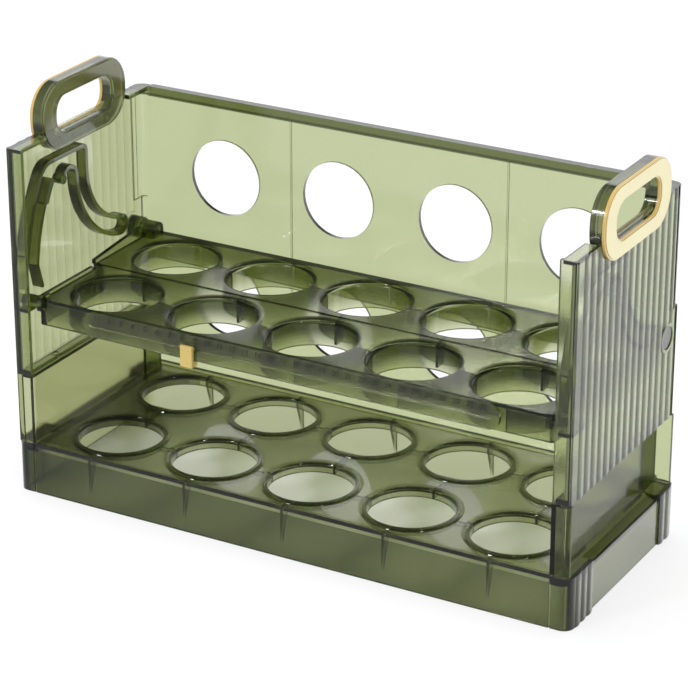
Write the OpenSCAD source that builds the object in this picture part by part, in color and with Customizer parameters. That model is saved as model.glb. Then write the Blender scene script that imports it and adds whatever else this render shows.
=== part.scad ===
// Two-tier egg keeper. The lower tier is the base tray. The upper tier is a tray that
// flips up on two hinge pins so that a hand can reach the eggs underneath it.
// Millimetres. X runs along the egg rows, the front faces -Y, and Z = 0 is the table.
// The modules below measure y from the front face; placed() centres the depth.

/* [Egg places] */
// Egg places in each row
columns = 5; // [3:1:6]
// Clear opening of a cup in the flip tray
cup_d = 40; // [36:0.5:44]
// Plate between two cups of a row
cup_gap = 10.4; // [9:0.1:14]
// Plate between the two rows of cups
row_gap = 9.4; // [8:0.1:14]
// Plate between the cups and the long edges of the flip tray
cup_margin = 3.55; // [3.5:0.05:6]
// Plate between the openings of the base and its long edges
base_margin = 7.75; // [7:0.25:10]

/* [Overall] */
// Height of the base tray
base_h = 24.5; // [22:0.5:32]
// Height of the plain walls between the base and the reeded panels
lower_h = 33.5; // [28:0.5:60]
// Height of the reeded panels
upper_h = 107.8; // [104:0.2:130]
// Height of the tray's top over the foot of the reeded panels
tray_rise = 36.9; // [34:0.1:40]

/* [Handles] */
// Length of a handle along the depth
handle_len = 66; // [58:1:70]
// Height of a handle
handle_h = 31.8; // [28:0.2:38]
// How far a handle stands over the top of the panels
handle_over = 21.5; // [19:0.5:24]

/* [Date slider] */
// Place of the slider along the date rail, from the middle
slider_x = -48; // [-90:1:90]

/* [Fits] */
// Radial clearance of the hinge pins in the panels
hinge_gap = 0.05; // [0.02:0.01:0.1]
// Clearance each side of a guide pin in its channel
guide_gap = 0.6; // [0.3:0.05:0.8]
// Clearance between pieces that slot together
fit_gap = 0.1; // [0.05:0.05:0.3]
// Air between pieces that rest against each other
seat_gap = 0.04; // [0.02:0.01:0.1]

/* [Hidden] */

$fn = 72;
olive = [0.46, 0.52, 0.30];
dark_olive = [0.36, 0.41, 0.24];
cream = [0.98, 0.92, 0.74];
tan = [0.88, 0.73, 0.43];
e = 0.01;              // overlap that keeps cuts and joins clean

// Widths, each as a distance from the middle plane
wall = 2;
egg_pitch = cup_d + cup_gap;
end_margin = 1.6;                // past the outer half pitch, at each end of the tray
ear_w = 3;                       // the tray's rear half is this much longer at each end
swing_gap = 0.6;                 // between the tray and the panels
tray_half = columns * egg_pitch / 2 + end_margin;
ear_half = tray_half + ear_w;
rib_plane = ear_half + swing_gap;  // free edges of everything inside a side panel
flange_in = rib_plane - 1;
recess_d = 5;
web_t = 1.6;
reed_h = 0.5;
web_in = rib_plane + recess_d;
web_out = web_in + web_t;
panel_half = web_out + reed_h;
base_lip = 2;                    // the base stands this much outside the panels
base_half = panel_half + base_lip;
low_web_in = rib_plane - 1.3;
low_web_t = 1.6;
low_web_out = low_web_in + low_web_t;

// Depths
tray_front = 5.1;
cup_shift = 0.4;                 // the cups stand this much nearer the front
back_room = 2.4;                 // behind the tray, so that it can turn
tray_back = tray_front + 2 * (cup_margin + cup_d) + row_gap;
back_in = tray_back + back_room;
back_out = back_in + wall;
depth = back_out + wall;
side_back = back_in - 7.5;       // seam between a reeded side and the back
rim_out = depth - 0.8;
tray_mid = (tray_front + tray_back) / 2 - 1.4;
base_hole_less = 1;              // an egg place of the base is this much narrower
base_hole_d = cup_d - base_hole_less;
base_rows = [base_margin + base_hole_d / 2, depth - base_margin - base_hole_d / 2];
tray_rows = [tray_front + cup_margin - cup_shift + cup_d / 2,
             tray_back - cup_margin - cup_shift - cup_d / 2];
columns_x = [for (i = [0 : columns - 1]) (i - (columns - 1) / 2) * egg_pitch];

// Heights
skin = 2;
foot_z = base_h + lower_h;
panel_z = foot_z + seat_gap;     // underside of the reeded panels
top_z = foot_z + upper_h;
tray_top = foot_z + tray_rise;
tray_skirt = 12.4;
step_h = 0.6;                    // the rear half of the tray stands this much higher
edge_r = 1.6;                    // corners of the tray and of the panels' front strips

// Egg places
lip_r = 3;
cup_wall = 1.6;
cup_depth = 13;
bead_r = 2;                      // rounded bead round each egg place of the base
bead_rise = 1.1;
collar_depth = 4.2;
collar_wall = 1.8;
rib_t = 1.2;
rib_foot = 6;                    // lower end of the gussets at the base's long walls
end_block_h = 4.5;               // thickening of the base under the side walls
curb_h = 5.5;
front_bead_h = 0.6;
front_bead_w = 1.4;
end_wall = 3.8;                  // the base's end walls, reeds included
ledge_drop = 2.9;                // fall of the grip ledge from the wall to the rim
line_x = 9.6;                    // fine upright line beside each front corner
line_w = 0.8;
line_deep = 0.5;

// Hinge and the channel that the guide pins climb, both seen along X
hinge = [tray_back - 6.6, tray_top + 3.3];
hinge_d = 10.4;
shank_d = 5;
shank_len = 7;
guide_d = 5.6;
shelf_top = tray_top - 4.9;
guide = [tray_front + 0.95, shelf_top + guide_d / 2 + 0.05];
guide_r = norm(hinge - guide);
guide_len = ear_w + swing_gap + 4;
boss_wall = 1.8;
lip_h = 1.5;                     // raised lips at the tray's ends
ear_low = 2.1;
ear_high = 5.3;
guide_t = 2;
outer_r = guide_r + guide_d / 2 + guide_gap;
inner_r = guide_r - guide_d / 2 - guide_gap;
arch_drop = 13.7;                // from the panel's top to the underside of the arch
arch_in = top_z - arch_drop;
arch_fillet = 8;
arch_back = hinge[0] - 43.3;     // middle of the arch's straight rear leg
scroll = hinge + [-11.3, 42.8];  // centre of the two rear curves
scroll_r = scroll[0] - arch_back;
scroll_gap = 8;                  // between the middles of the two rear curves
scroll_end = 261.6;              // where the rear slot closes, as an angle
arch_bend = 4;
hook_r = 5.2;
hook_tip_r = 2.2;
finger_rise = 46.3;
finger_head = 9;                 // length of the thicker head of the finger
finger_t = 1.8;
finger_head_t = 3.2;
finger_low = 9.8;                // where its straight tail starts, over the hinge
finger_tail = [3, -10.6];
hook_drop = 0.8;
shelf_t = 1.6;
shelf_len = 16;

// Reeds
reed_gap = 0.35;                 // flat strip between two reeds
reed_n = 15;                     // the last one is past the seam to the back panel
reed_start = 7.1;
reed_pitch = (side_back - reed_start) / (reed_n - 1);
base_reed_h = 0.5;
corner_r = 5;
grip_front = 22.5;               // the smooth stretch of the base's ends, for the fingers
grip_back = depth - 16;

// Back panel
return_z = hinge[1] + 12;        // its returns start here, over the hinge
vent_d = 36.5;
vent_edge = 19.35;               // plate outside the two outer openings
vent_rise = 69.3;
vent_pitch = 2 * (tray_half - vent_edge - vent_d / 2) / (columns - 2);
vent_z = foot_z + vent_rise;
rim_h = 4.6;
rim_lip = 0.8;
seam_x = 0.4 * panel_half;       // two raised lines on the rear face
seam_w = 0.8;
seam_rise = 0.5;
seam_stop = 4;                   // the seams end this far under the top
tongue_t = 0.9;
tongue_h = 4;

// Date rail and slider
rail_over = 2.7;                 // the rail runs this far past the outer columns
rail_edge = 0.4;                 // it stays this far inside the skirt's edges
rail_t = 1.8;
rail_top_t = 0.9;
rail_half = (columns - 1) * egg_pitch / 2 + rail_over;
rail_bottom = tray_top - tray_skirt + rail_edge;
rail_h = tray_skirt - 2 * rail_edge;
rail_back = tray_front - seat_gap;
rail_front = rail_back - rail_t;
slope_z = tray_top - 5.2;        // the face slants back from here
groove_z = tray_top - 6.6;
groove_h = 1.2;
groove_d = 1.1;
groove_stop = 4;
slider_w = 6;
slider_hang = 3.1;
slider_t = 1.4;
slider_head = 1.3;
slider_foot = 1.2;
slider_gap = 0.15;

// Handles
handle_y = side_back / 2 + 6.05;
handle_top = top_z + handle_over;
handle_bottom = handle_top - handle_h;
handle_end = 11;                 // band at the two ends
handle_band = 7.4;               // band at the top and the bottom
handle_r = 14.5;
handle_hole_r = 7.5;
handle_round = 0.8;              // step that stands for the rounded inner edge
loop_in = rib_plane + 1.3;
loop_out = panel_half;
ring_t = 1.7;
ring_round = 0.6;
ring_in = loop_out + fit_gap;
peg_d = 4;
peg_in = 1;                      // how far a peg reaches into the ring
peg_grip = 0.02;                 // radial clearance of a pressed peg

// Feet and pegs of the side walls
foot_tabs = [14, depth - 36];
foot_tab_len = 18;
foot_pegs = [24, depth - 34];
foot_peg_d = 3.4;
foot_peg_off = 1.9;              // from the outer face of the lower wall
foot_tab_h = 3.5;
cap_t = 1.6;
cap_short = 13;                  // the cap of a lower wall ends this far before the back
return_len = 13;
return_t = 1.5;

// Helpers
module placed() translate([0, -depth / 2, 0]) children();

module on_side(side) {
    if (side > 0) children();
    else mirror([1, 0, 0]) children();
}

// A flat shape drawn in (y, z) made solid from x0 to x1
module along_x(x0, x1) translate([x0, 0, 0]) rotate([90, 0, 90]) linear_extrude(x1 - x0) children();

// A flat shape drawn in (x, y) made solid from z0 to z1
module upright(z0, z1) translate([0, 0, z0]) linear_extrude(z1 - z0) children();

module box(a, b) translate(a) cube(b - a);

module square_to(a, b) translate(a) square(b - a);

module rounded(a, b, r) {
    translate([a[0] + r, a[1]]) square([b[0] - a[0] - 2 * r, b[1] - a[1]]);
    translate([a[0], a[1] + r]) square([b[0] - a[0], b[1] - a[1] - 2 * r]);
    for (x = [a[0] + r, b[0] - r], y = [a[1] + r, b[1] - r]) translate([x, y]) circle(r);
}

// Part of a ring between two angles, less than half a turn
module arc_band(r0, r1, a0, a1) intersection() {
    difference() {
        circle(r1);
        circle(r0);
    }
    polygon([[0, 0], for (a = [a0, (a0 + a1) / 2, a1]) 2 * r1 * [cos(a), sin(a)]]);
}

// Straight bar of width t between two points, with round ends
module bar(a, b, t) translate(a) rotate(atan2(b[1] - a[1], b[0] - a[0])) {
    square_to([0, -t / 2], [norm(b - a), t / 2]);
    for (x = [0, norm(b - a)]) translate([x, 0]) circle(t / 2);
}

// n upright reeds side by side on the face x = base, from y0 to y1, seen from above
module reeds(base, y0, y1, n, h) {
    pitch = (y1 - y0) / n;
    half = (pitch - reed_gap) / 2;
    r = (pow(half, 2) + pow(h, 2)) / (2 * h);
    for (i = [0 : n - 1]) translate([base, y0 + (i + 0.5) * pitch]) intersection() {
        translate([h - r, 0]) circle(r);
        translate([-0.5, -pitch / 2]) square([h + 1, pitch]);
    }
}

// Cutter for an egg place: a straight bore with a rounded mouth
module mouth_cut(d, lip, z, deep) translate([0, 0, z]) rotate_extrude() {
    translate([0, -deep]) square([d / 2, deep + 1]);
    difference() {
        translate([0, -lip]) square([d / 2 + lip, lip + 1]);
        translate([d / 2 + lip, -lip]) circle(lip);
        translate([d / 2 + lip, -lip]) square([lip + 1, lip + 2]);
    }
}

// Base tray
module base_plan() {
    face = base_half - base_reed_h;
    difference() {
        rounded([-face, 0], [face, depth], corner_r);
        for (s = [0, 1]) mirror([s, 0]) square_to([face - 0.9, grip_front], [face + 1, grip_back]);
    }
    for (s = [0, 1]) mirror([s, 0]) {
        reeds(face, corner_r, grip_front, 3, base_reed_h);
        reeds(face, grip_back, depth - corner_r, 2, base_reed_h);
    }
}

module base_ribs() {
    r = base_hole_d / 2 + 1;
    z0 = base_h - collar_depth;
    z1 = base_h - skin + e;
    y0 = wall - e;
    y1 = depth - wall + e;
    for (x = columns_x) {
        along_x(x - rib_t / 2, x + rib_t / 2) {
            polygon([[y0, rib_foot], [base_rows[0] - r, z0], [base_rows[0] - r, z1], [y0, z1]]);
            polygon([[base_rows[1] + r, z0], [y1, rib_foot], [y1, z1], [base_rows[1] + r, z1]]);
        }
        box([x - rib_t / 2, base_rows[0] + r, z0], [x + rib_t / 2, base_rows[1] - r, z1]);
    }
    for (y = base_rows, i = [0 : columns - 2])
        box([columns_x[i] + r, y - rib_t / 2, z0], [columns_x[i + 1] - r, y + rib_t / 2, z1]);
}

// Disc with a rounded edge that stands on the plate; mouth_cut makes it a bead
module bead() rotate_extrude() {
    crest = base_hole_d / 2 + bead_r;
    square_to([0, -1], [crest, bead_rise]);
    intersection() {
        translate([crest, bead_rise - bead_r]) circle(bead_r);
        square_to([crest, -1], [crest + bead_r + 1, bead_rise + 1]);
    }
}

module base_tray() placed() color(dark_olive) difference() {
    union() {
        difference() {
            upright(0, base_h) base_plan();
            upright(-e, base_h - skin) rounded([-base_half + end_wall, wall],
                [base_half - end_wall, depth - wall], corner_r - wall);
        }
        for (s = [-1, 1]) on_side(s) box([rib_plane - 2, wall - e, base_h - end_block_h],
            [base_half - end_wall + 0.8, depth - wall + e, base_h - skin + e]);
        for (x = columns_x, y = base_rows) translate([x, y, base_h]) {
            translate([0, 0, -collar_depth]) cylinder(h = collar_depth - 1, r = base_hole_d / 2 + collar_wall);
            bead();
        }
        base_ribs();
        // curb behind the lower back wall, and the bead along the front edge
        box([-rib_plane, back_out + seat_gap, base_h - e], [rib_plane, depth, base_h + curb_h]);
        box([-rib_plane, 0, base_h - e], [rib_plane, front_bead_w, base_h + front_bead_h]);
    }
    for (x = columns_x, y = base_rows) translate([x, y, 0])
        mouth_cut(base_hole_d, bead_r, base_h + bead_rise, collar_depth + bead_rise + 1);
    for (s = [-1, 1]) on_side(s) {
        // slanted grip ledge outside the wall
        intersection() {
            along_x(low_web_out, base_half + 1)
                polygon([[grip_front - 1.5, base_h + 1], [grip_front + 2, base_h - ledge_drop - 0.1],
                         [grip_back - 3.5, base_h - ledge_drop - 0.1], [grip_back, base_h + 1]]);
            translate([0, depth, 0]) rotate([90, 0, 0]) linear_extrude(depth)
                polygon([[low_web_out, base_h], [base_half + 1, base_h - ledge_drop],
                         [base_half + 1, base_h + 2], [low_web_out, base_h + 2]]);
        }
        // slots for the feet of the wall, and the line beside each front corner
        for (y = foot_tabs) box([low_web_in - fit_gap, y - fit_gap, base_h - foot_tab_h - fit_gap],
            [low_web_out + fit_gap, y + foot_tab_len + fit_gap, base_h + e]);
        box([base_half - line_x - line_w, -e, -e], [base_half - line_x, line_deep, base_h + 1]);
    }
}

// Plain lower walls
module lower_side(side) placed() color(olive) on_side(side) {
    z0 = base_h + seat_gap;
    box([low_web_in, 0, z0], [low_web_out, back_in - seat_gap, foot_z]);
    for (y = foot_tabs)
        box([low_web_in, y, base_h - foot_tab_h], [low_web_out, y + foot_tab_len, z0 + e]);
    upright(z0, foot_z) rounded_flange(low_web_in, panel_half + 0.3);
    box([low_web_out - e, 0, foot_z - cap_t], [web_in, back_in - cap_short, foot_z]);
    for (y = foot_pegs) translate([low_web_out + foot_peg_off, y, foot_z - e])
        cylinder(h = skin - fit_gap, d = foot_peg_d);
}

// Front edge strip of a side wall, rounded on its outer corner
module rounded_flange(x0, x1, r = edge_r) {
    square_to([x0, 0], [x1 - r, wall]);
    square_to([x0, r], [x1, wall]);
    translate([x1 - r, r]) circle(r);
}

module lower_side_left() lower_side(-1);

module lower_side_right() lower_side(1);

module lower_back() placed() color(olive) {
    z0 = base_h + seat_gap;
    box([-panel_half, back_in, z0], [panel_half, back_out, foot_z]);
    box([-rib_plane + 1, back_in, foot_z - e], [rib_plane - 1, back_in + tongue_t, foot_z + tongue_h]);
    for (s = [-1, 1]) on_side(s) box([low_web_in - seat_gap - return_t, back_in - return_len, z0],
        [low_web_in - seat_gap, back_in + e, foot_z - skin]);
}

// Reeded side panel
module side_web_outline() difference() {
    low = back_in - seat_gap;
    high = side_back - seat_gap;
    turn_z = return_z - seat_gap;
    polygon([[0, panel_z], [low, panel_z], [low, turn_z], [high, turn_z], [high, top_z], [0, top_z]]);
    // room for the opening of the handle
    square_to([handle_y - handle_len / 2 + handle_end - 1, handle_bottom + handle_band - 0.6],
              [handle_y + handle_len / 2 - handle_end + 1, top_z + 1]);
}

module guide_ribs() {
    t = guide_t;
    // outer rib: an arc about the hinge, a fillet, the arch and its straight rear leg
    turn = asin((arch_in - arch_fillet - hinge[1]) / (outer_r - arch_fillet));
    fillet = hinge + (outer_r - arch_fillet) * [-cos(turn), sin(turn)];
    bend = [arch_back + t / 2 - arch_bend, arch_in + t - arch_bend];
    translate(hinge) arc_band(outer_r, outer_r + t, 180 - turn, 183);
    translate(fillet) arc_band(arch_fillet, arch_fillet + t, 90, 180 - turn);
    square_to([fillet[0], arch_in], [bend[0], arch_in + t]);
    translate(bend) arc_band(arch_bend - t, arch_bend, 0, 90);
    square_to([arch_back - t / 2, scroll[1]], [arch_back + t / 2, bend[1]]);
    // rear slot: two curves about the same centre, and the bend that closes it
    for (r = [scroll_r, scroll_r + scroll_gap])
        translate(scroll) arc_band(r - t / 2, r + t / 2, 180, scroll_end);
    middle = (scroll_r + scroll_gap / 2) * [cos(scroll_end), sin(scroll_end)];
    translate(scroll + middle) rotate(scroll_end + 90) half_ring(scroll_gap / 2, t);
    // hook at the top of the inner curve
    translate(scroll - [scroll_r + scroll_gap + hook_r, 0]) {
        rotate(90) half_ring(hook_r, t);
        translate([-hook_r, hook_drop]) circle(hook_tip_r);
    }
}

// The half of a ring with x > 0
module half_ring(r, t) difference() {
    circle(r + t / 2);
    circle(r - t / 2);
    square_to([-r - t, -r - t], [0, r + t]);
}

// Free-standing finger on the inner side of the channel
module guide_finger() {
    r1 = inner_r;
    a_low = asin(finger_low / r1);
    a_head = asin((finger_rise - finger_head) / r1);
    a_top = asin(finger_rise / r1);
    translate(hinge) {
        arc_band(r1 - finger_t, r1, 180 - a_top, 180 - a_low);
        arc_band(r1 - finger_head_t, r1, 180 - a_top, 180 - a_head);
        translate((r1 - finger_head_t / 2) * [-cos(a_top), sin(a_top)]) circle(finger_head_t / 2);
    }
    low = hinge + (r1 - finger_t / 2) * [-cos(a_low), sin(a_low)];
    bar(low, low + finger_tail, finger_t);
}

module upper_side(side) placed() color(olive) on_side(side) difference() {
    union() {
        intersection() {
            upright(panel_z, top_z) {
                square_to([web_in, 0], [web_out, back_in]);
                reeds(web_out, reed_start, reed_start + reed_n * reed_pitch, reed_n, reed_h);
            }
            along_x(web_in - 1, panel_half + 1) side_web_outline();
        }
        upright(panel_z, top_z) rounded_flange(flange_in, panel_half);
        box([rib_plane, 0, top_z - skin], [web_in + e, side_back - seat_gap, top_z]);
        box([rib_plane, 0, panel_z], [web_in + e, side_back - seat_gap, foot_z + skin]);
        along_x(rib_plane, web_in + e) {
            guide_ribs();
            guide_finger();
            square_to([wall - e, shelf_top - shelf_t], [shelf_len, shelf_top]);
        }
        // flat pad round the hinge bore
        translate([web_in, hinge[0], hinge[1]]) rotate([0, 90, 0])
            cylinder(h = panel_half - web_in, d = hinge_d + 3);
    }
    translate([web_in - 1, hinge[0], hinge[1]]) rotate([0, 90, 0])
        cylinder(h = panel_half - web_in + 2, d = hinge_d + 2 * hinge_gap);
    // the top rail stops where the handle stands in it
    box([rib_plane - 1, handle_y - handle_len / 2 - fit_gap, handle_bottom - fit_gap],
        [web_in, handle_y + handle_len / 2 + fit_gap, top_z + 1]);
    for (y = foot_pegs) translate([low_web_out + foot_peg_off, y, foot_z - 1])
        cylinder(h = skin + 2, d = foot_peg_d + 2 * fit_gap);
    for (p = handle_pegs) translate([web_in - 1, p[0], p[1]]) rotate([0, 90, 0])
        cylinder(h = panel_half - web_in + 2, d = peg_d + 2 * fit_gap);
}

module upper_side_left() upper_side(-1);

module upper_side_right() upper_side(1);

// Back panel with its corner returns
module upper_back() placed() color(olive) difference() {
    union() {
        box([-web_in + 3, back_in, panel_z], [web_in - 3, back_out, top_z]);
        for (s = [-1, 1]) on_side(s) {
            upright(panel_z, return_z) low_corner();
            upright(return_z, top_z) high_corner();
            box([rib_plane, side_back, top_z - skin], [web_in + e, back_in + e, top_z]);
        }
        box([-rib_plane, back_in - rim_lip, top_z - rim_h], [rib_plane, rim_out, top_z]);
        for (s = [-1, 1]) translate([s * seam_x, 0, 0])
            box([-seam_w / 2, back_out - e, panel_z], [seam_w / 2, back_out + seam_rise, top_z - seam_stop]);
    }
    for (i = [0 : columns - 2]) translate([(i - (columns - 2) / 2) * vent_pitch, back_in - 1, vent_z])
        rotate([-90, 0, 0]) cylinder(h = wall + 2, d = vent_d);
    box([-rib_plane, back_in - e, foot_z - e],
        [rib_plane, back_in + tongue_t + fit_gap, foot_z + tongue_h + fit_gap]);
}

// Rear corners, seen from above: the low one meets the side panel's end, and the high
// one turns the corner and carries one reed
module low_corner() intersection() {
    rounded([0, 0], [panel_half, back_out], corner_r / 2);
    square_to([web_in - 4, back_in], [panel_half + 1, back_out]);
}

module high_corner() {
    bend = [web_in + wall - corner_r, back_out - corner_r];
    translate(bend) arc_band(corner_r - wall, corner_r, 0, 90);
    square_to([web_in - 4, back_in], [bend[0], back_out]);
    square_to([web_in, side_back], [web_in + wall - reed_h, bend[1]]);
    reeds(web_in + wall - reed_h, side_back, bend[1], 1, reed_h);
}

// Flip tray
module tray_plan(inset = 0) {
    rounded([-tray_half + inset, tray_front + inset], [tray_half - inset, tray_back - inset], edge_r);
    rounded([-ear_half + inset, tray_mid + inset], [ear_half - inset, tray_back - inset], edge_r);
}

module tray_ribs() {
    r = cup_d / 2 + 1;
    z0 = tray_top - cup_depth + 1;
    z1 = tray_top - skin + e;
    for (x = columns_x) {
        box([x - rib_t / 2, tray_front + 1, z0], [x + rib_t / 2, tray_rows[0] - r, z1]);
        box([x - rib_t / 2, tray_rows[0] + r, z0], [x + rib_t / 2, tray_rows[1] - r, z1]);
        box([x - rib_t / 2, tray_rows[1] + r, z0], [x + rib_t / 2, tray_back - 1, z1]);
    }
    for (y = tray_rows, i = [0 : columns - 2])
        box([columns_x[i] + r, y - rib_t / 2, z0], [columns_x[i + 1] - r, y + rib_t / 2, z1]);
}

module flip_tray() placed() color(dark_olive) difference() {
    union() {
        difference() {
            upright(tray_top - tray_skirt, tray_top) tray_plan();
            upright(tray_top - tray_skirt - e, tray_top - skin) tray_plan(wall);
        }
        upright(tray_top - e, tray_top + step_h)
            rounded([-ear_half, tray_mid], [ear_half, tray_back], edge_r);
        for (x = columns_x, y = tray_rows) translate([x, y, tray_top - cup_depth])
            cylinder(h = cup_depth - e, r = cup_d / 2 + cup_wall);
        tray_ribs();
        for (s = [-1, 1]) on_side(s) tray_end();
    }
    for (x = columns_x, k = [0, 1]) translate([x, tray_rows[k], 0])
        mouth_cut(cup_d, lip_r, tray_top + k * step_h, cup_depth + step_h + e);
    for (s = [-1, 1]) on_side(s) translate([ear_half - shank_len - 0.4, hinge[0], hinge[1]])
        rotate([0, 90, 0]) cylinder(h = shank_len + 1, d = shank_d + 2 * peg_grip);
}

// Raised lip, hinge boss and guide pin at one end of the tray
module tray_end() {
    boss_r = shank_d / 2 + boss_wall;
    box([tray_half - edge_r, tray_front + 1, tray_top - e], [tray_half, tray_mid - 6, tray_top + lip_h]);
    along_x(ear_half - wall, ear_half)
        polygon([[tray_mid, tray_top], [tray_mid, tray_top + ear_low], [hinge[0] - 7, tray_top + ear_high],
                 [tray_back - 2, tray_top + ear_high], [tray_back - 2, tray_top]]);
    along_x(ear_half - shank_len - 1.6, ear_half) {
        translate(hinge) circle(boss_r);
        square_to([hinge[0] - boss_r, tray_top], [hinge[0] + boss_r, hinge[1]]);
    }
    box([tray_half - 3, guide[0] - guide_d / 2, guide[1] - 3.2],
        [tray_half, guide[0] + 4, tray_top + lip_h]);
    translate([tray_half - e, guide[0], guide[1]]) rotate([0, 90, 0]) cylinder(h = guide_len, d = guide_d);
}

// Stepped hinge pin: the shank sits in the tray and the head turns in the side panel
module hinge_pin(side) placed() color(dark_olive) on_side(side)
    translate([0, hinge[0], hinge[1]]) rotate([0, 90, 0]) {
        translate([0, 0, ear_half + seat_gap])
            cylinder(h = panel_half - 0.4 - ear_half - seat_gap, d = hinge_d);
        translate([0, 0, ear_half - shank_len]) cylinder(h = shank_len + seat_gap + e, d = shank_d);
    }

module hinge_pin_left() hinge_pin(-1);

module hinge_pin_right() hinge_pin(1);

// Date scale clipped to the front of the tray, with the groove that the slider runs in
module date_rail() placed() color(dark_olive) difference() {
    intersection() {
        along_x(-rail_half, rail_half)
            polygon([[rail_back, rail_bottom], [rail_front, rail_bottom], [rail_front, slope_z],
                     [rail_back - rail_top_t, rail_bottom + rail_h], [rail_back, rail_bottom + rail_h]]);
        translate([0, tray_front + 1, 0]) rotate([90, 0, 0]) linear_extrude(rail_t + 2)
            rounded([-rail_half, rail_bottom], [rail_half, rail_bottom + rail_h], rail_h / 2 - 0.2);
    }
    box([-rail_half + groove_stop, rail_front - 1, groove_z - groove_h / 2],
        [rail_half - groove_stop, rail_front + groove_d, groove_z + groove_h / 2]);
}

module date_slider() placed() color(tan) {
    x0 = slider_x - slider_w / 2;
    x1 = slider_x + slider_w / 2;
    y0 = rail_front - slider_gap;
    box([x0, y0 - slider_t, rail_bottom - slider_hang], [x1, y0, groove_z + slider_head]);
    box([x0, y0 - e, groove_z - groove_h / 2 + slider_gap],
        [x1, rail_front + groove_d - slider_gap, groove_z + groove_h / 2 - slider_gap]);
    box([x0, y0 - e, rail_bottom - slider_hang],
        [x1, tray_front + slider_foot, rail_bottom - rail_edge - slider_gap]);
}

// Handles
handle_pegs = [for (s = [-1, 1])
    [handle_y + s * (handle_len / 2 - handle_end - 3), handle_bottom + handle_band / 2]];

module handle_outline(shrink = 0) difference() {
    rounded([handle_y - handle_len / 2 + shrink, handle_bottom + shrink],
            [handle_y + handle_len / 2 - shrink, handle_top - shrink], handle_r - shrink);
    rounded([handle_y - handle_len / 2 + handle_end - shrink, handle_bottom + handle_band - shrink],
            [handle_y + handle_len / 2 - handle_end + shrink, handle_top - handle_band + shrink],
            handle_hole_r + shrink);
}

module handle_loop(side) placed() color(dark_olive) on_side(side) {
    difference() {
        union() {
            along_x(loop_in + handle_round, loop_out) handle_outline();
            along_x(loop_in, loop_in + handle_round + e) handle_outline(handle_round);
        }
        // the lower half leaves room for the wall of the panel
        box([web_in - seat_gap, 0, handle_bottom - 1], [loop_out + 1, depth, top_z + seat_gap]);
    }
    // pegs through the wall, for the ring outside it
    for (p = handle_pegs) translate([web_in - seat_gap - e, p[0], p[1]]) rotate([0, 90, 0])
        cylinder(h = ring_in + peg_in - web_in + seat_gap + e, d = peg_d);
}

module handle_loop_left() handle_loop(-1);

module handle_loop_right() handle_loop(1);

module handle_ring(side) placed() color(cream) on_side(side) difference() {
    union() {
        along_x(ring_in, ring_in + ring_t - ring_round) handle_outline();
        along_x(ring_in + ring_t - ring_round - e, ring_in + ring_t) handle_outline(ring_round);
    }
    for (p = handle_pegs) translate([ring_in - 1, p[0], p[1]]) rotate([0, 90, 0])
        cylinder(h = 1 + peg_in + seat_gap, d = peg_d + 2 * peg_grip);
}

module handle_ring_left() handle_ring(-1);

module handle_ring_right() handle_ring(1);

base_tray();
lower_side_left();
lower_side_right();
lower_back();
upper_side_left();
upper_side_right();
upper_back();
flip_tray();
hinge_pin_left();
hinge_pin_right();
date_rail();
date_slider();
handle_loop_left();
handle_loop_right();
handle_ring_left();
handle_ring_right();
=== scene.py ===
import math
import bpy
from mathutils import Matrix, Vector


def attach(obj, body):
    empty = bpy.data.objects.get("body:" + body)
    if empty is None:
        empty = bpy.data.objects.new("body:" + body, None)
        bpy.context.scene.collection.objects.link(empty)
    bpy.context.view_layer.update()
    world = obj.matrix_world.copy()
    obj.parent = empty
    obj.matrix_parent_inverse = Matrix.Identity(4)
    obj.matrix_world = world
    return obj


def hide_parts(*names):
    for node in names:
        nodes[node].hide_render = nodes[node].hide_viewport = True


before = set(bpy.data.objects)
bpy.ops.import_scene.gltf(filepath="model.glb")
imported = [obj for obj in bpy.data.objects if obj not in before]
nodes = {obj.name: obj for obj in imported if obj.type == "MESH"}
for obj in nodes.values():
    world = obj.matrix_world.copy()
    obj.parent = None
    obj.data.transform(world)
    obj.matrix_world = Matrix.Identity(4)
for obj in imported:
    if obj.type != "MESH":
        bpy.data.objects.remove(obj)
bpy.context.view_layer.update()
scene = bpy.context.scene
print("frame loaded:", len(nodes), "nodes")


# camera and view; all lengths in this script are metres unless a note says otherwise
cameraSizes = {
    "place": (0.5758, -1.0159, 0.5855),
    "turn": (66.653, 0.0, 29.478),      # degrees
    "lens": 150.36,                     # mm
    "sensor": 36.0,                     # mm
    "near": 0.01,
    "far": 50.0,
}
# clear plastic needs many turns of a ray
rayTurns = {"max_bounces": 32, "transmission_bounces": 32, "transparent_max_bounces": 64,
            "glossy_bounces": 6, "diffuse_bounces": 3}


def makeCamera():
    data = bpy.data.cameras.new("photoCamera")
    data.lens = cameraSizes["lens"]
    data.sensor_width = cameraSizes["sensor"]
    data.clip_start = cameraSizes["near"]
    data.clip_end = cameraSizes["far"]
    camera = bpy.data.objects.new("photoCamera", data)
    camera.location = cameraSizes["place"]
    camera.rotation_euler = [math.radians(angle) for angle in cameraSizes["turn"]]
    scene.collection.objects.link(camera)
    scene.camera = camera
    scene.view_settings.view_transform = "Standard"
    for name, turns in rayTurns.items():
        setattr(scene.cycles, name, turns)


makeCamera()
print("camera ready")


def newMaterial(name):
    mat = bpy.data.materials.new(name)
    mat.use_nodes = True
    tree = mat.node_tree
    tree.nodes.clear()
    return mat, tree


def addNode(tree, kind, **settings):
    node = tree.nodes.new(kind)
    for key, value in settings.items():
        setattr(node, key, value)
    return node


# gives a socket its value, or a link where the value is another node's output
def feed(tree, value, socket):
    if isinstance(value, bpy.types.NodeSocket):
        tree.links.new(value, socket)
    else:
        socket.default_value = value


def addMath(tree, operation, first, second=0.0, third=0.0):
    node = addNode(tree, "ShaderNodeMath", operation=operation)
    for socket, value in zip(node.inputs, (first, second, third)):
        feed(tree, value, socket)
    return node.outputs[0]


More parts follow.
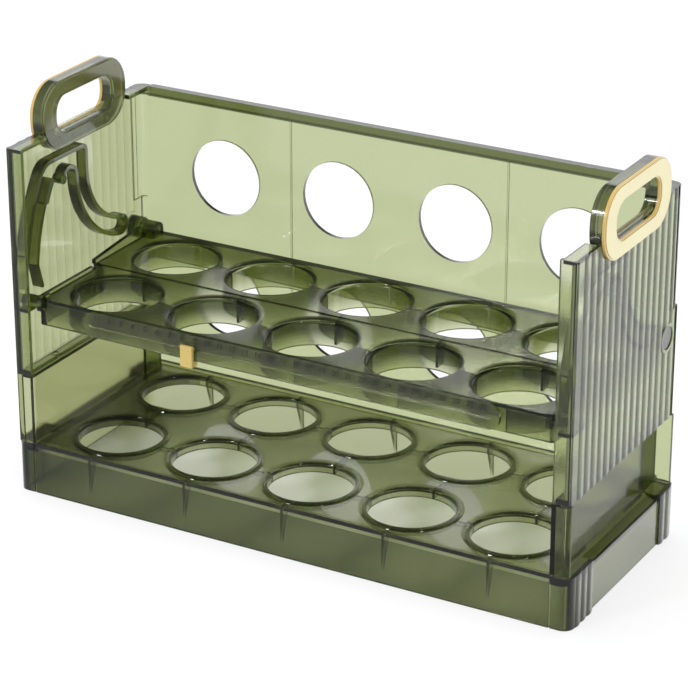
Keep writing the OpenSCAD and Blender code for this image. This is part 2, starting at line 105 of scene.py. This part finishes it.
# a mix node has sockets for every kind of data: these are the two ends and the result
mixPlaces = {"RGBA": (6, 7, 2), "VECTOR": (4, 5, 1)}


def addMix(tree, kind, share, first, second, **settings):
    node = addNode(tree, "ShaderNodeMix", data_type=kind, **settings)
    firstPlace, secondPlace, result = mixPlaces[kind]
    feed(tree, share, node.inputs["Factor"])
    feed(tree, first, node.inputs[firstPlace])
    feed(tree, second, node.inputs[secondPlace])
    return node.outputs[result]


# runs from low to high, softly, while a value goes from start to end
def addFade(tree, value, start, end, low=0.0, high=1.0):
    fade = addNode(tree, "ShaderNodeMapRange", interpolation_type="SMOOTHSTEP")
    tree.links.new(value, fade.inputs["Value"])
    fade.inputs["From Min"].default_value = start
    fade.inputs["From Max"].default_value = end
    fade.inputs["To Min"].default_value = low
    fade.inputs["To Max"].default_value = high
    return fade.outputs["Result"]


def addSplit(tree, vector):
    split = addNode(tree, "ShaderNodeSeparateXYZ")
    tree.links.new(vector, split.inputs[0])
    return split.outputs


# a node group with its end nodes; inputs are names with a kind and a start value
def makeGroup(name, kind, inputs, outputs):
    tree = bpy.data.node_groups.new(name, kind)
    for label, socketKind, value in inputs:
        socket = tree.interface.new_socket(name=label, in_out="INPUT",
                                           socket_type="NodeSocket" + socketKind)
        if value is not None:
            socket.default_value = value
    for label, socketKind in outputs:
        tree.interface.new_socket(name=label, in_out="OUTPUT",
                                  socket_type="NodeSocket" + socketKind)
    return tree, addNode(tree, "NodeGroupInput"), addNode(tree, "NodeGroupOutput")


# rays that look at the scene, and how white the studio is for them: full for a straight
# look, faded in a reflection, and "inside" after a reflection within the plastic
def addLookingRay(tree, inside, fade):
    path = addNode(tree, "ShaderNodeLightPath")
    looks = addMath(tree, "MAXIMUM", path.outputs["Is Camera Ray"],
                    path.outputs["Is Glossy Ray"])
    looks = addMath(tree, "MAXIMUM", looks, path.outputs["Is Transmission Ray"])
    mirrored = addMath(tree, "MINIMUM", path.outputs["Glossy Depth"], 1.0)
    through = addMath(tree, "MINIMUM", path.outputs["Transmission Depth"], 1.0)
    inner = addMath(tree, "MULTIPLY", mirrored, through)
    outer = addMath(tree, "SUBTRACT", mirrored, inner)
    fadeLess = addMath(tree, "SUBTRACT", fade, 1.0)
    level = addMath(tree, "MULTIPLY_ADD", outer, fadeLess, 1.0)
    level = addMath(tree, "MULTIPLY_ADD", inner, inside - 1.0, level)
    return looks, level


# world: plain white to look at, softer as a light, and darker in a reflection where it is
# overhead or on the camera's side
worldSizes = {"lightColor": (0.93, 0.96, 1.0, 1), "light": 0.85, "white": (1, 1, 1, 1),
              "inside": 0.35, "front": 0.12, "fade": (-0.2, 0.12), "overhead": 1.6}


def makeWorld():
    world = bpy.data.worlds.new("studio")
    world.use_nodes = True
    tree = world.node_tree
    tree.nodes.clear()
    coords = addNode(tree, "ShaderNodeTexCoord")
    ways = addSplit(tree, coords.outputs["Generated"])
    along = addMath(tree, "MULTIPLY_ADD", ways["Z"], -worldSizes["overhead"], ways["Y"])
    fade = addFade(tree, along, *worldSizes["fade"], low=worldSizes["front"])
    out = addNode(tree, "ShaderNodeOutputWorld")
    mix = addNode(tree, "ShaderNodeMixShader")
    light = addNode(tree, "ShaderNodeBackground")
    light.inputs["Color"].default_value = worldSizes["lightColor"]
    light.inputs["Strength"].default_value = worldSizes["light"]
    white = addNode(tree, "ShaderNodeBackground")
    white.inputs["Color"].default_value = worldSizes["white"]
    looks, level = addLookingRay(tree, worldSizes["inside"], fade)
    tree.links.new(level, white.inputs["Strength"])
    tree.links.new(looks, mix.inputs["Fac"])
    tree.links.new(light.outputs[0], mix.inputs[1])
    tree.links.new(white.outputs[0], mix.inputs[2])
    tree.links.new(mix.outputs[0], out.inputs["Surface"])
    scene.world = world


makeWorld()


# moulded surface: faint flow waves, a little roughness variation and a colour drift
mouldedSizes = {
    "waveDetail": 2.0, "waveRoughness": 0.45, "grainDetail": 3.0,
    "grainRange": (0.35, 0.75),         # of the noise, spread over the roughness
    "grainHeight": 0.06,                # against the waves
}


def makeMouldedGroup():
    group, into, out = makeGroup(
        "mouldedSurface", "ShaderNodeTree",
        [("Coordinates", "Vector", None), ("Tint", "Color", (0.9, 0.95, 0.8, 1)),
         ("Deep Tint", "Color", (0.8, 0.88, 0.66, 1)), ("Wave Scale", "Float", 60.0),
         ("Grain Scale", "Float", 900.0), ("Roughness Low", "Float", 0.02),
         ("Roughness High", "Float", 0.08)],
        [("Color", "Color"), ("Roughness", "Float"), ("Height", "Float")])
    link = group.links.new
    wave = addNode(group, "ShaderNodeTexNoise")
    wave.inputs["Detail"].default_value = mouldedSizes["waveDetail"]
    wave.inputs["Roughness"].default_value = mouldedSizes["waveRoughness"]
    grain = addNode(group, "ShaderNodeTexNoise")
    grain.inputs["Detail"].default_value = mouldedSizes["grainDetail"]
    link(into.outputs["Coordinates"], wave.inputs["Vector"])
    link(into.outputs["Wave Scale"], wave.inputs["Scale"])
    link(into.outputs["Coordinates"], grain.inputs["Vector"])
    link(into.outputs["Grain Scale"], grain.inputs["Scale"])
    color = addMix(group, "RGBA", wave.outputs["Fac"], into.outputs["Tint"],
                   into.outputs["Deep Tint"])
    link(color, out.inputs["Color"])
    rough = addNode(group, "ShaderNodeMapRange")
    link(grain.outputs["Fac"], rough.inputs["Value"])
    rough.inputs["From Min"].default_value = mouldedSizes["grainRange"][0]
    rough.inputs["From Max"].default_value = mouldedSizes["grainRange"][1]
    link(into.outputs["Roughness Low"], rough.inputs["To Min"])
    link(into.outputs["Roughness High"], rough.inputs["To Max"])
    link(rough.outputs["Result"], out.inputs["Roughness"])
    height = addMath(group, "MULTIPLY_ADD", grain.outputs["Fac"],
                     mouldedSizes["grainHeight"], wave.outputs["Fac"])
    link(height, out.inputs["Height"])
    return group


mouldedGroup = makeMouldedGroup()


# the moulded surface of a look, and the coordinates it is laid out in
def addSurface(tree, look):
    coords = addNode(tree, "ShaderNodeTexCoord").outputs["Object"]
    surface = addNode(tree, "ShaderNodeGroup", node_tree=mouldedGroup)
    surface.inputs["Tint"].default_value = look["tint"]
    surface.inputs["Deep Tint"].default_value = look["deepTint"]
    surface.inputs["Wave Scale"].default_value = look["waveScale"]
    surface.inputs["Grain Scale"].default_value = look["grainScale"]
    surface.inputs["Roughness Low"].default_value = look["roughness"][0]
    surface.inputs["Roughness High"].default_value = look["roughness"][1]
    tree.links.new(coords, surface.inputs["Coordinates"])
    return coords, surface


# rounded edges, and over them the waves of the moulded surface
def addRelief(tree, look, surface, ease=None, coords=None):
    bevel = addNode(tree, "ShaderNodeBevel", samples=look["edgeSamples"])
    bevel.inputs["Radius"].default_value = look["edge"]
    normal = bevel.outputs["Normal"]
    if ease:
        normal = addEase(tree, coords, normal, ease)
    bump = addNode(tree, "ShaderNodeBump")
    bump.inputs["Strength"].default_value = look["waveStrength"]
    bump.inputs["Distance"].default_value = look["waveHeight"]
    tree.links.new(surface.outputs["Height"], bump.inputs["Height"])
    tree.links.new(normal, bump.inputs["Normal"])
    return bump.outputs["Normal"]


# 1 where a point is between two corners, with x counted from the middle on both sides;
# "across" is x from left to right, and "fade" has the two places between which it comes in
def addBand(tree, coords, band):
    ways = addSplit(tree, coords)
    places = {"x": addMath(tree, "ABSOLUTE", ways["X"]), "y": ways["Y"], "z": ways["Z"],
              "across": ways["X"]}
    mask = None
    for axis, place in places.items():
        if axis not in band:
            continue
        low, high = band[axis]
        over = addMath(tree, "GREATER_THAN", place, low)
        within = addMath(tree, "MULTIPLY", over, addMath(tree, "LESS_THAN", place, high))
        mask = within if mask is None else addMath(tree, "MULTIPLY", mask, within)
    if "fade" in band:
        axis, start, end = band["fade"]
        mask = addMath(tree, "MULTIPLY", mask, addFade(tree, places[axis], start, end))
    return mask


# flattens small rounds in the normals, in a band or only for light inside the plastic
def addEase(tree, coords, normal, ease):
    if ease["band"]:
        where = addBand(tree, coords, ease["band"])
    else:
        where = addNode(tree, "ShaderNodeNewGeometry").outputs["Backfacing"]
    flat = addNode(tree, "ShaderNodeVectorMath", operation="MULTIPLY")
    flat.inputs[1].default_value = ease["scale"]
    tree.links.new(normal, flat.inputs[0])
    unit = addNode(tree, "ShaderNodeVectorMath", operation="NORMALIZE")
    tree.links.new(flat.outputs[0], unit.inputs[0])
    return addMix(tree, "VECTOR", where, normal, unit.outputs[0])


# clear tinted plastic: a near-white surface, and colour by the depth of the plastic
# bands are places with a deeper tint of the surface, some of it painted shade
def makeClearPlastic(name, look, density, bands=(), ease=None):
    mat, tree = newMaterial(name)
    link = tree.links.new
    out = addNode(tree, "ShaderNodeOutputMaterial")
    coords, surface = addSurface(tree, look)
    normal = addRelief(tree, look, surface, ease, coords)
    color = surface.outputs["Color"]
    for band in bands:
        color = addMix(tree, "RGBA", addBand(tree, coords, band), color, band["tint"],
                       blend_type="MULTIPLY")
    shader = addNode(tree, "ShaderNodeBsdfPrincipled")
    shader.inputs["Transmission Weight"].default_value = 1.0
    shader.inputs["IOR"].default_value = look["ior"]
    shader.inputs["Coat Weight"].default_value = look["coat"]
    shader.inputs["Coat Roughness"].default_value = look["coatRoughness"]
    link(color, shader.inputs["Base Color"])
    link(surface.outputs["Roughness"], shader.inputs["Roughness"])
    link(normal, shader.inputs["Normal"])
    # lamps reach through the plastic, tinted by its depth
    clear = addNode(tree, "ShaderNodeBsdfTransparent")
    clear.inputs["Color"].default_value = look["shadowTint"]
    path = addNode(tree, "ShaderNodeLightPath")
    mix = addNode(tree, "ShaderNodeMixShader")
    link(path.outputs["Is Shadow Ray"], mix.inputs["Fac"])
    link(shader.outputs[0], mix.inputs[1])
    link(clear.outputs[0], mix.inputs[2])
    link(mix.outputs[0], out.inputs["Surface"])
    depth = addNode(tree, "ShaderNodeVolumeAbsorption")
    depth.inputs["Color"].default_value = look["depthColor"]
    depth.inputs["Density"].default_value = density
    link(depth.outputs[0], out.inputs["Volume"])
    return mat


clearLook = {
    "tint": (1.0, 1.0, 0.98, 1), "deepTint": (0.97, 0.98, 0.94, 1),
    "waveScale": 45.0, "grainScale": 700.0, "roughness": (0.14, 0.2),
    "edge": 0.0004, "edgeSamples": 4, "waveStrength": 0.15, "waveHeight": 0.0006,
    "ior": 1.49, "shadowTint": (0.93, 0.94, 0.92, 1),
    "depthColor": (0.517, 0.585, 0.147, 1), "coat": 1.0, "coatRoughness": 0.03,
}
handleLook = dict(clearLook, depthColor=(0.52, 0.56, 0.32, 1))
lowLook = dict(clearLook, depthColor=(0.517, 0.56, 0.2, 1), coat=0.2)
lowWallLook = dict(clearLook, coat=0.2)
baseLook = dict(clearLook, depthColor=(0.517, 0.55, 0.26, 1))
trayLook = dict(clearLook, depthColor=(0.517, 0.565, 0.19, 1), coat=0.2)
railLook = dict(trayLook, coat=0.15)

# darker grey tint on the rim of the back, and a painted shadow line along its lower edge
rimBand = {"z": (0.1611, 0.17), "tint": (0.42, 0.43, 0.37, 1)}
rimShadowLine = {"z": (0.1611, 0.1618), "tint": (0.25, 0.26, 0.18, 1)}
# guide ribs of the end panels, and the webs of upper and lower panels between their flanges
guideBand = {"x": (0.13, 0.13615), "y": (-0.0515, 0.05), "z": (0.0605, 0.1635),
             "tint": (0.24, 0.26, 0.11, 1)}
webBand = {"x": (0.13615, 0.14), "y": (-0.0515, 0.06), "tint": (0.78, 0.79, 0.66, 1)}
lowWebBand = {"x": (0.1293, 0.1322), "y": (-0.0515, 0.06), "tint": (0.63, 0.64, 0.45, 1)}
# painted shade on the walls of the tray's cups, darker towards the lip and deeper in the front
# row
frontCupShadeBand = {"x": (-1.0, 0.1265), "y": (-0.0475, -0.001), "z": (0.08, 0.0925),
                "fade": ("z", 0.0805, 0.0905), "tint": (0.16, 0.18, 0.12, 1)}
backCupShadeBand = {"x": (-1.0, 0.1265), "y": (-0.001, 0.0455), "z": (0.08, 0.0925),
               "fade": ("z", 0.0805, 0.0905), "tint": (0.42, 0.44, 0.3, 1)}
# painted shade on the front skirt of the base, deeper on its left part, and on the left end of
# its plate
skirtShadeBand = {"y": (-0.06, -0.0535), "z": (-0.001, 0.0215), "tint": (0.26, 0.28, 0.16, 1)}
darkSkirtShadeBand = dict(skirtShadeBand, fade=("across", 0.11, 0.01), tint=(0.55, 0.57, 0.52, 1))
plateShadeBand = {"y": (-0.05, 0.046), "z": (0.0205, 0.0262),
             "fade": ("across", -0.075, -0.11), "tint": (0.32, 0.32, 0.26, 1)}
# flutes seen from inside, the beads round the base's holes and the lips of the tray's cups
fluteEase = {"scale": (1, 0.3, 1), "band": None}
beadEase = {"scale": (0.12, 0.12, 1), "band": {"z": (0.0238, 0.0262)}}
lipEase = {"scale": (0.25, 0.25, 1), "band": {"z": (0.0925, 0.0965)}}

wallPlastic = makeClearPlastic("oliveWall", clearLook, 520.0, [rimBand, rimShadowLine])
sidePlastic = makeClearPlastic("oliveSide", clearLook, 340.0, [guideBand, webBand],
                               fluteEase)
lowPlastic = makeClearPlastic("oliveLow", lowLook, 580.0, [lowWebBand])
lowWallPlastic = makeClearPlastic("oliveLowWall", lowWallLook, 520.0)
basePlastic = makeClearPlastic("oliveBase", baseLook, 660.0,
                               [skirtShadeBand, darkSkirtShadeBand, plateShadeBand], beadEase)
trayPlastic = makeClearPlastic("oliveTray", trayLook, 520.0, [frontCupShadeBand, backCupShadeBand],
                               lipEase)
railPlastic = makeClearPlastic("oliveRail", railLook, 250.0)
pinPlastic = makeClearPlastic("olivePin", clearLook, 500.0)
handlePlastic = makeClearPlastic("oliveHandle", handleLook, 260.0)


# opaque satin plastic for the cream rings and the slider
# sideShadeTint is painted shade: a deeper colour on the narrow faces that don't look along X
def makeSatinPlastic(name, look):
    mat, tree = newMaterial(name)
    link = tree.links.new
    out = addNode(tree, "ShaderNodeOutputMaterial")
    surface = addSurface(tree, look)[1]
    normal = addRelief(tree, look, surface)
    geometry = addNode(tree, "ShaderNodeNewGeometry")
    facing = addMath(tree, "ABSOLUTE", addSplit(tree, geometry.outputs["Normal"])["X"])
    side = addMath(tree, "LESS_THAN", facing, look["sideLimit"])
    color = addMix(tree, "RGBA", side, surface.outputs["Color"], look["sideShadeTint"],
                   blend_type="MULTIPLY")
    shader = addNode(tree, "ShaderNodeBsdfPrincipled")
    shader.inputs["Subsurface Weight"].default_value = look["glow"]
    shader.inputs["Subsurface Radius"].default_value = look["glowRadius"]
    shader.inputs["Subsurface Scale"].default_value = look["glowDepth"]
    shader.inputs["Coat Weight"].default_value = look["coat"]
    shader.inputs["Coat Roughness"].default_value = look["coatRoughness"]
    link(color, shader.inputs["Base Color"])
    link(surface.outputs["Roughness"], shader.inputs["Roughness"])
    link(normal, shader.inputs["Normal"])
    link(shader.outputs[0], out.inputs["Surface"])
    return mat


creamLook = {
    "tint": (0.84, 0.76, 0.46, 1), "deepTint": (0.80, 0.72, 0.42, 1),
    "sideShadeTint": (0.72, 0.52, 0.25, 1), "sideLimit": 0.6, "waveScale": 60.0,
    "grainScale": 900.0, "roughness": (0.28, 0.42), "edge": 0.0006, "edgeSamples": 4,
    "waveStrength": 0.2, "waveHeight": 0.0002, "glow": 0.15, "glowRadius": (1.0, 0.7, 0.4),
    "glowDepth": 0.001, "coat": 0.2, "coatRoughness": 0.12,
}
tanLook = dict(creamLook, tint=(0.56, 0.42, 0.13, 1), deepTint=(0.50, 0.37, 0.11, 1),
               sideShadeTint=(1, 1, 1, 1), waveScale=80.0, roughness=(0.3, 0.45), edge=0.0003,
               glow=0.1)
creamPlastic = makeSatinPlastic("creamRing", creamLook)
tanPlastic = makeSatinPlastic("tanSlider", tanLook)

nodeMaterials = {
    "base_tray": basePlastic, "lower_side_left": lowPlastic, "lower_side_right": lowPlastic,
    "lower_back": lowWallPlastic, "upper_side_left": sidePlastic,
    "upper_side_right": sidePlastic, "upper_back": wallPlastic, "flip_tray": trayPlastic,
    "hinge_pin_left": pinPlastic, "hinge_pin_right": pinPlastic, "date_rail": railPlastic,
    "date_slider": tanPlastic, "handle_loop_left": handlePlastic,
    "handle_loop_right": handlePlastic, "handle_ring_left": creamPlastic,
    "handle_ring_right": creamPlastic,
}
for name, mat in nodeMaterials.items():
    node = nodes[name]
    node.data.materials.clear()
    node.data.materials.append(mat)
print("materials on every node")


# runs a tree once, on a copy of a mesh or on an empty one, and keeps the result as a plain mesh
def meshFromTree(name, tree, values, start=None):
    mesh = start.copy() if start else bpy.data.meshes.new(name + "Source")
    source = bpy.data.objects.new(name + "Source", mesh)
    scene.collection.objects.link(source)
    modifier = source.modifiers.new("shape", "NODES")
    modifier.node_group = tree
    for item in tree.interface.items_tree:
        if item.item_type == "SOCKET" and item.in_out == "INPUT" and item.name in values:
            modifier[item.identifier] = values[item.name]
    source.update_tag()
    bpy.context.view_layer.update()
    depsgraph = bpy.context.evaluated_depsgraph_get()
    mesh = bpy.data.meshes.new_from_object(source.evaluated_get(depsgraph))
    source.modifiers.clear()
    bpy.data.objects.remove(source)
    piece = bpy.data.objects.new(name, mesh)
    scene.collection.objects.link(piece)
    return piece


# doubles closer than this are one corner
weldGap = 0.000002


def addWeld(tree, geometry):
    weld = addNode(tree, "GeometryNodeMergeByDistance")
    weld.inputs["Distance"].default_value = weldGap
    tree.links.new(geometry, weld.inputs["Geometry"])
    return weld.outputs[0]


# the end of a tree: one real mesh with its material
def finishTree(tree, geometry, material, out):
    solid = addNode(tree, "GeometryNodeRealizeInstances")
    tree.links.new(geometry, solid.inputs[0])
    coat = addNode(tree, "GeometryNodeSetMaterial")
    tree.links.new(solid.outputs[0], coat.inputs["Geometry"])
    tree.links.new(material, coat.inputs["Material"])
    tree.links.new(coat.outputs[0], out.inputs["Geometry"])


# numbers of the date scale, one for each day, on the slanted band of the rail
numberSizes = {
    "count": 31, "pitch": 0.0064, "size": 0.0035, "raise": 0.00012, "sunk": 0.00003,
    "place": (0.0, -0.05032, 0.0921), "lean": 10.6,      # degrees the band leans back
}
inkLook = {"tint": (0.014, 0.017, 0.012, 1), "deepTint": (0.022, 0.026, 0.018, 1),
           "waveScale": 300.0, "grainScale": 4000.0, "roughness": (0.3, 0.5)}


def makeInk(name, look):
    mat, tree = newMaterial(name)
    out = addNode(tree, "ShaderNodeOutputMaterial")
    surface = addSurface(tree, look)[1]
    shader = addNode(tree, "ShaderNodeBsdfPrincipled")
    tree.links.new(surface.outputs["Color"], shader.inputs["Base Color"])
    tree.links.new(surface.outputs["Roughness"], shader.inputs["Roughness"])
    tree.links.new(shader.outputs[0], out.inputs["Surface"])
    return mat


def makeNumberTree():
    tree, into, out = makeGroup(
        "dateNumbers", "GeometryNodeTree",
        [("Count", "Int", numberSizes["count"]), ("Pitch", "Float", numberSizes["pitch"]),
         ("Size", "Float", numberSizes["size"]), ("Raise", "Float", numberSizes["raise"]),
         ("Ink", "Material", None)],
        [("Geometry", "Geometry")])
    link = tree.links.new
    first = addNode(tree, "GeometryNodeRepeatInput")
    last = addNode(tree, "GeometryNodeRepeatOutput")
    first.pair_with_output(last)
    link(into.outputs["Count"], first.inputs["Iterations"])
    day = addMath(tree, "ADD", first.outputs["Iteration"], 1.0)
    words = addNode(tree, "FunctionNodeValueToString")
    link(day, words.inputs["Value"])
    curves = addNode(tree, "GeometryNodeStringToCurves", align_x="CENTER", align_y="MIDDLE")
    link(words.outputs[0], curves.inputs["String"])
    link(into.outputs["Size"], curves.inputs["Size"])
    real = addNode(tree, "GeometryNodeRealizeInstances")
    link(curves.outputs["Curve Instances"], real.inputs[0])
    fill = addNode(tree, "GeometryNodeFillCurve")
    link(real.outputs[0], fill.inputs["Curve"])
    lift = addNode(tree, "GeometryNodeExtrudeMesh", mode="FACES")
    lift.inputs["Individual"].default_value = False
    link(fill.outputs["Mesh"], lift.inputs["Mesh"])
    link(into.outputs["Raise"], lift.inputs["Offset Scale"])
    under = addNode(tree, "GeometryNodeFlipFaces")
    link(fill.outputs["Mesh"], under.inputs["Mesh"])
    both = addNode(tree, "GeometryNodeJoinGeometry")
    link(lift.outputs["Mesh"], both.inputs[0])
    link(under.outputs["Mesh"], both.inputs[0])
    # the row is centred: the first number is half a row to the left of the middle
    middle = addMath(tree, "MULTIPLY_ADD", into.outputs["Count"], -0.5, -0.5)
    steps = addMath(tree, "ADD", day, middle)
    along = addNode(tree, "ShaderNodeCombineXYZ")
    link(addMath(tree, "MULTIPLY", steps, into.outputs["Pitch"]), along.inputs["X"])
    moved = addNode(tree, "GeometryNodeTransform")
    link(addWeld(tree, both.outputs[0]), moved.inputs["Geometry"])
    link(along.outputs[0], moved.inputs["Translation"])
    gathered = addNode(tree, "GeometryNodeJoinGeometry")
    link(first.outputs["Geometry"], gathered.inputs[0])
    link(moved.outputs[0], gathered.inputs[0])
    link(gathered.outputs[0], last.inputs["Geometry"])
    finishTree(tree, last.outputs["Geometry"], into.outputs["Ink"], out)
    return tree


def makeNumbers(name):
    numbers = meshFromTree(name, makeNumberTree(), {
        "Count": numberSizes["count"], "Pitch": numberSizes["pitch"],
        "Size": numberSizes["size"], "Raise": numberSizes["raise"],
        "Ink": makeInk("numberInk", inkLook)})
    lean = math.radians(90 - numberSizes["lean"])
    outward = Vector((0, -math.sin(lean), math.cos(lean)))
    place = Vector(numberSizes["place"]) - outward * numberSizes["sunk"]
    numbers.data.transform(Matrix.Translation(place) @ Matrix.Rotation(lean, 4, "X"))
    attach(numbers, "tray")
    print("date numbers:", len(numbers.data.polygons), "faces")


makeNumbers("date_numbers")


# lower row of vents, behind the tray, right under the upper row: it crosses the seam of the
# two back panels, so that both get a cut copy
ventSizes = {
    "count": 4, "pitch": 0.06, "diameter": 0.0365, "height": 0.0663, "middle": 0.051,
    "reach": 0.012,                     # of the drill, through the wall
    "facets": 96, "smooth": 30.0,       # degrees
    "flat": 0.9999,                     # of a normal along one axis
}


def makeVentTree():
    tree, into, out = makeGroup(
        "ventRow", "GeometryNodeTree",
        [("Geometry", "Geometry", None), ("Count", "Int", ventSizes["count"]),
         ("Pitch", "Float", ventSizes["pitch"]), ("Diameter", "Float", ventSizes["diameter"]),
         ("Height", "Float", ventSizes["height"]), ("Middle", "Float", ventSizes["middle"]),
         ("Reach", "Float", ventSizes["reach"]), ("Facets", "Int", ventSizes["facets"]),
         ("Plastic", "Material", None)],
        [("Geometry", "Geometry")])
    link = tree.links.new
    half = addMath(tree, "MULTIPLY_ADD", into.outputs["Count"], -0.5, 0.5)
    start = addNode(tree, "ShaderNodeCombineXYZ")
    link(addMath(tree, "MULTIPLY", half, into.outputs["Pitch"]), start.inputs["X"])
    link(into.outputs["Middle"], start.inputs["Y"])
    link(into.outputs["Height"], start.inputs["Z"])
    step = addNode(tree, "ShaderNodeCombineXYZ")
    link(into.outputs["Pitch"], step.inputs["X"])
    row = addNode(tree, "GeometryNodeMeshLine", mode="OFFSET")
    link(into.outputs["Count"], row.inputs["Count"])
    link(start.outputs[0], row.inputs["Start Location"])
    link(step.outputs[0], row.inputs["Offset"])
    drill = addNode(tree, "GeometryNodeMeshCylinder")
    link(into.outputs["Facets"], drill.inputs["Vertices"])
    link(addMath(tree, "MULTIPLY", into.outputs["Diameter"], 0.5), drill.inputs["Radius"])
    link(into.outputs["Reach"], drill.inputs["Depth"])
    laid = addNode(tree, "GeometryNodeTransform")
    link(drill.outputs["Mesh"], laid.inputs["Geometry"])
    laid.inputs["Rotation"].default_value = (math.radians(90), 0, 0)
    drills = addNode(tree, "GeometryNodeInstanceOnPoints")
    link(row.outputs["Mesh"], drills.inputs["Points"])
    link(laid.outputs[0], drills.inputs["Instance"])
    real = addNode(tree, "GeometryNodeRealizeInstances")
    link(drills.outputs[0], real.inputs[0])
    cut = addNode(tree, "GeometryNodeMeshBoolean", operation="DIFFERENCE", solver="MANIFOLD")
    link(addWeld(tree, into.outputs["Geometry"]), cut.inputs["Mesh 1"])
    link(real.outputs[0], cut.inputs["Mesh 2"])
    finishTree(tree, cut.outputs["Mesh"], into.outputs["Plastic"], out)
    return tree


def makeVentedBack(tree, name, node, mat):
    piece = meshFromTree(name, tree, {
        "Count": ventSizes["count"], "Pitch": ventSizes["pitch"],
        "Diameter": ventSizes["diameter"], "Height": ventSizes["height"],
        "Middle": ventSizes["middle"], "Reach": ventSizes["reach"],
        "Facets": ventSizes["facets"], "Plastic": mat}, nodes[node].data)
    # the uncut mesh's normals no longer fit
    if "custom_normal" in piece.data.attributes:
        piece.data.attributes.remove(piece.data.attributes["custom_normal"])
    piece.data.set_sharp_from_angle(angle=math.radians(ventSizes["smooth"]))
    for polygon in piece.data.polygons:      # flat faces stay flat, round ones are smooth
        polygon.use_smooth = max(abs(c) for c in polygon.normal) < ventSizes["flat"]
    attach(piece, "frame")
    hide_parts(node)
    print(name + ":", len(nodes[node].data.polygons), "to", len(piece.data.polygons), "faces")


ventTree = makeVentTree()
makeVentedBack(ventTree, "upper_back_vented", "upper_back", wallPlastic)
makeVentedBack(ventTree, "lower_back_vented", "lower_back", lowWallPlastic)


# the base with a lower curb behind the lower back wall
curbSizes = {"inner": 0.0519, "top": 0.03, "near": 0.0001, "lowered": 0.0041}


def makeLowCurb(name, node):
    piece = bpy.data.objects.new(name, nodes[node].data.copy())
    scene.collection.objects.link(piece)
    behind, top, near = curbSizes["inner"], curbSizes["top"], curbSizes["near"]
    corners = [vertex for vertex in piece.data.vertices
               if vertex.co.y > behind and abs(vertex.co.z - top) < near]
    for corner in corners:
        corner.co.z -= curbSizes["lowered"]
    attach(piece, "frame")
    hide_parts(node)
    print(name + ":", len(corners), "corners lowered")


makeLowCurb("base_tray_low_curb", "base_tray")


# floor: pale, white to look at, and it keeps the soft shadow
floorSizes = {
    "half": 6.0, "drop": 0.0004,        # just under the object
    "color": (0.93, 0.93, 0.92, 1), "shadowShare": 0.28,
    "footprint": (0.138, 0.052),        # half sizes, where the floor shows its whole shadow
    "inside": 0.35, "front": 0.12, "fade": (-0.08, 0.0),
}


def makeFloorMaterial():
    mat, tree = newMaterial("paleFloor")
    link = tree.links.new
    out = addNode(tree, "ShaderNodeOutputMaterial")
    matte = addNode(tree, "ShaderNodeBsdfDiffuse")
    matte.inputs["Color"].default_value = floorSizes["color"]
    white = addNode(tree, "ShaderNodeEmission")
    coords = addNode(tree, "ShaderNodeTexCoord")
    ways = addSplit(tree, coords.outputs["Object"])
    fade = addFade(tree, ways["Y"], *floorSizes["fade"], low=floorSizes["front"])
    looks, level = addLookingRay(tree, floorSizes["inside"], fade)
    link(level, white.inputs["Strength"])
    across = addMath(tree, "LESS_THAN", addMath(tree, "ABSOLUTE", ways["X"]),
                     floorSizes["footprint"][0])
    along = addMath(tree, "LESS_THAN", addMath(tree, "ABSOLUTE", ways["Y"]),
                    floorSizes["footprint"][1])
    clearOf = addMath(tree, "SUBTRACT", 1.0, addMath(tree, "MULTIPLY", across, along))
    share = addMath(tree, "MULTIPLY", looks, 1 - floorSizes["shadowShare"])
    mix = addNode(tree, "ShaderNodeMixShader")
    link(addMath(tree, "MULTIPLY", share, clearOf), mix.inputs["Fac"])
    link(matte.outputs[0], mix.inputs[1])
    link(white.outputs[0], mix.inputs[2])
    link(mix.outputs[0], out.inputs["Surface"])
    return mat


def makeFloor():
    half = floorSizes["half"]
    mesh = bpy.data.meshes.new("floor")
    mesh.from_pydata([(-half, -half, 0), (half, -half, 0), (half, half, 0), (-half, half, 0)],
                     [], [(0, 1, 2, 3)])
    mesh.materials.append(makeFloorMaterial())
    floor = bpy.data.objects.new("floor", mesh)
    floor.location = (0, 0, -floorSizes["drop"])
    scene.collection.objects.link(floor)


makeFloor()


# soft boxes; the top one lights without a reflection, the front ones leave glints in the cups
lampSizes = [
    {"name": "topBox", "place": (-0.2, 0.2, 1.3), "size": (1.2, 0.8), "watts": 9,
     "glints": False},
    {"name": "leftBox", "place": (-0.55, -1.25, 0.85), "size": (0.2, 0.3), "watts": 6,
     "glints": True},
    {"name": "rightBox", "place": (1.2, -0.9, 0.9), "size": (0.2, 0.3), "watts": 5,
     "glints": True},
]
lampAim = Vector((0, 0, 0.1))
for lamp in lampSizes:
    data = bpy.data.lights.new(lamp["name"], "AREA")
    data.shape = "RECTANGLE"
    data.size, data.size_y = lamp["size"]
    data.energy = lamp["watts"]
    light = bpy.data.objects.new(lamp["name"], data)
    light.location = lamp["place"]
    light.visible_glossy = lamp["glints"]
    light.visible_transmission = False
    way = lampAim - Vector(lamp["place"])
    light.rotation_euler = way.to_track_quat("-Z", "Y").to_euler()
    scene.collection.objects.link(light)
print("world, floor and lamps ready")
